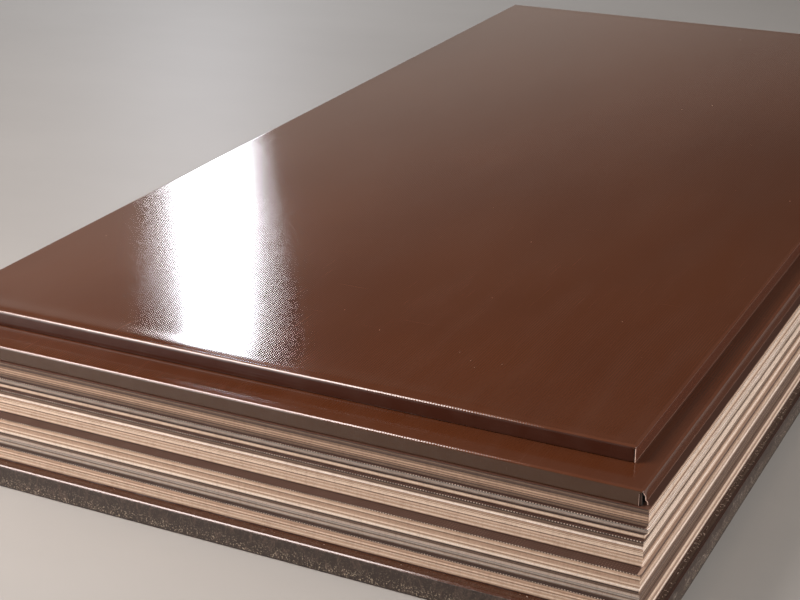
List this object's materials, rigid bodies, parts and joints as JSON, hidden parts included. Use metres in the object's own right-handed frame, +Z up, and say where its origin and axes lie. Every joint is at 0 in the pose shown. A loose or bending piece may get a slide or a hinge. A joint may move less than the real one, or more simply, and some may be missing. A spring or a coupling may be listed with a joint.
{
  "type": "stack of plywood sheets",
  "caption": "Loose, slightly stepped stack of full-size film-faced plywood sheets, some with hanging film edges and the rest with sawn edges.",
  "frame": {"origin": "middle of the whole stack in plan, at the floor under the bottom sheet", "axes": "+X to the right along the short edge, +Y to the back along the long edge, +Z up"},
  "size_m": [1.2874, 2.5604, 0.254],
  "materials": {
    "brown_film": "semi-gloss phenolic film with a fine mesh texture",
    "dusty_film": "the same film, dulled by dust and floor dirt",
    "sawn_plies": "sawn plywood edge, pale plies with dark glue lines",
    "grey_edge": "sawn plywood edge, greyed"
  },
  "bodies": {
    "root": {"top_sheet": "brown_film", "second_sheet": "brown_film", "third_sheet": "sawn_plies", "fourth_sheet": "grey_edge", "fifth_sheet": "sawn_plies", "sixth_sheet": "sawn_plies", "seventh_sheet": "sawn_plies", "eighth_sheet": "grey_edge", "ninth_sheet": "sawn_plies", "bottom_sheet": "dusty_film"}
  },
  "joints": []
}
